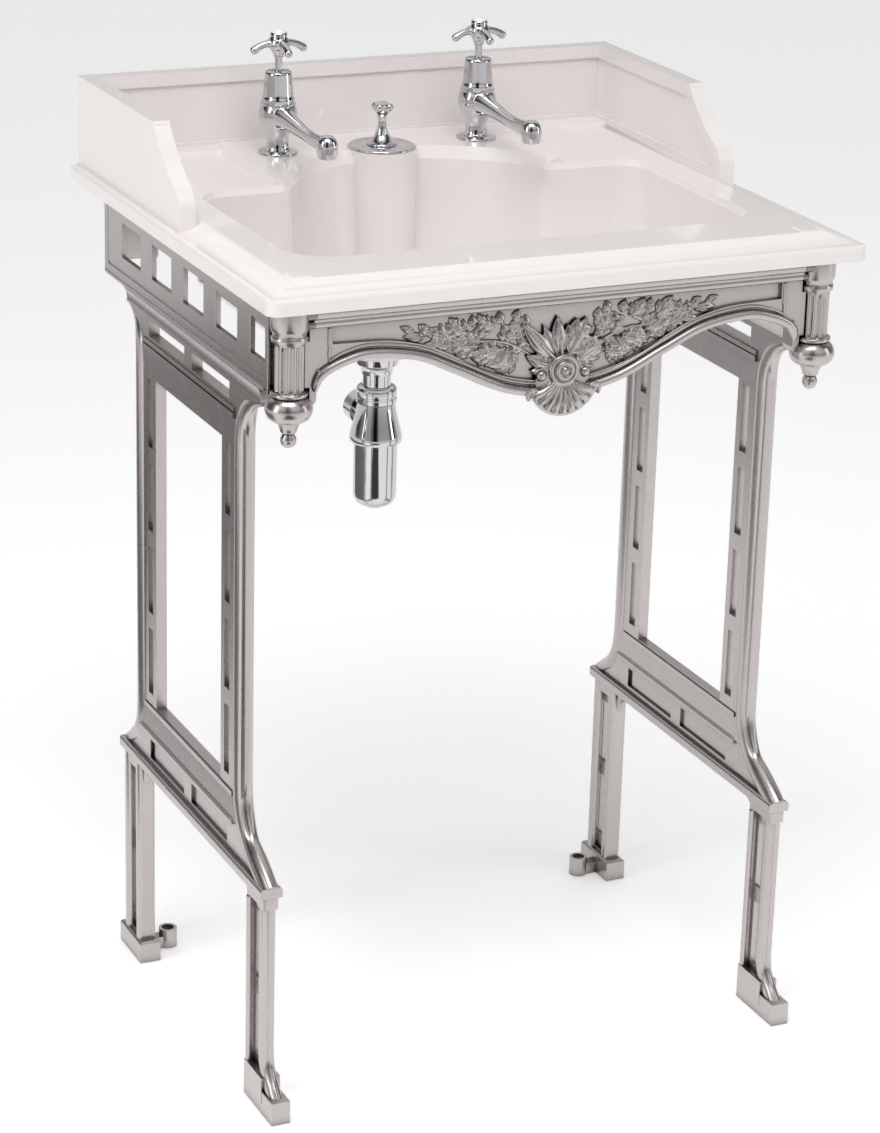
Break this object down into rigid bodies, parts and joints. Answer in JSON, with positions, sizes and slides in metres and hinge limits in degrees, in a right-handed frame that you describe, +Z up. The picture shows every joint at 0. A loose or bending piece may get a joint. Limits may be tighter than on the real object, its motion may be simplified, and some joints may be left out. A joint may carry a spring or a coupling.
{
  "type": "console sink with legs",
  "caption": "Traditional console sink: a white china basin with upstands on an open cast metal stand, with pillar taps, a lifting waste knob and a bottle trap.",
  "frame": {"origin": "on the floor, under the middle of the bounding box", "axes": "+Z up, +Y towards the wall, +X to the right seen from the front"},
  "size_m": [0.65, 0.58, 1.036],
  "materials": {
    "glazed_china": "gloss",
    "satin_aluminium": "satin",
    "chrome_plate": "polished",
    "brass": "machined",
    "black_rubber": "matte",
    "white_china": "gloss"
  },
  "bodies": {
    "stand": {"apron_cornice": "satin_aluminium", "apron_ornament": "satin_aluminium", "apron_panel": "satin_aluminium", "basin": "glazed_china", "basin_column": "glazed_china", "cold_backnut": "brass", "cold_body": "chrome_plate", "cold_cover": "chrome_plate", "cold_flange": "chrome_plate", "cold_valve": "brass", "cold_washer": "black_rubber", "corner_finial_left": "satin_aluminium", "corner_finial_right": "satin_aluminium", "corner_post_left": "satin_aluminium", "corner_post_right": "satin_aluminium", "floor_lug_left": "satin_aluminium", "floor_lug_right": "satin_aluminium", "hot_backnut": "brass", "hot_body": "chrome_plate", "hot_cover": "chrome_plate", "hot_flange": "chrome_plate", "hot_valve": "brass", "hot_washer": "black_rubber", "leg_front_left": "satin_aluminium", "leg_front_right": "satin_aluminium", "leg_rear_left": "satin_aluminium", "leg_rear_right": "satin_aluminium", "side_frame_left": "satin_aluminium", "side_frame_right": "satin_aluminium", "side_frieze_left": "satin_aluminium", "side_frieze_right": "satin_aluminium", "trap_bottle": "chrome_plate", "trap_dip_tube": "brass", "trap_head": "chrome_plate", "trap_inlet_nut": "chrome_plate", "trap_outlet_nut": "chrome_plate", "trap_outlet_seal": "black_rubber", "trap_seal": "black_rubber", "waste_backnut": "chrome_plate", "waste_outlet": "chrome_plate", "waste_plate": "chrome_plate", "waste_washer": "black_rubber"},
    "hot_lever": {"hot_handle": "chrome_plate", "hot_spindle": "chrome_plate", "hot_index": "white_china"},
    "cold_lever": {"cold_handle": "chrome_plate", "cold_spindle": "chrome_plate", "cold_index": "white_china"},
    "waste_plunger": {"waste_knob": "chrome_plate", "waste_rod": "chrome_plate", "waste_standpipe": "brass", "waste_seal": "black_rubber"}
  },
  "joints": [
    {"name": "hot_turn", "type": "hinge", "parent": "stand", "child": "hot_lever", "pos_m": [-0.118, 0.208, 1], "axis": [0, 0, 1], "range_deg": [0, 90]},
    {"name": "cold_turn", "type": "hinge", "parent": "stand", "child": "cold_lever", "pos_m": [0.118, 0.208, 1], "axis": [0, 0, 1], "range_deg": [-90, 0]},
    {"name": "waste_lift", "type": "slide", "parent": "stand", "child": "waste_plunger", "axis": [0, 0, 1], "range_m": [0, 0.025]}
  ]
}
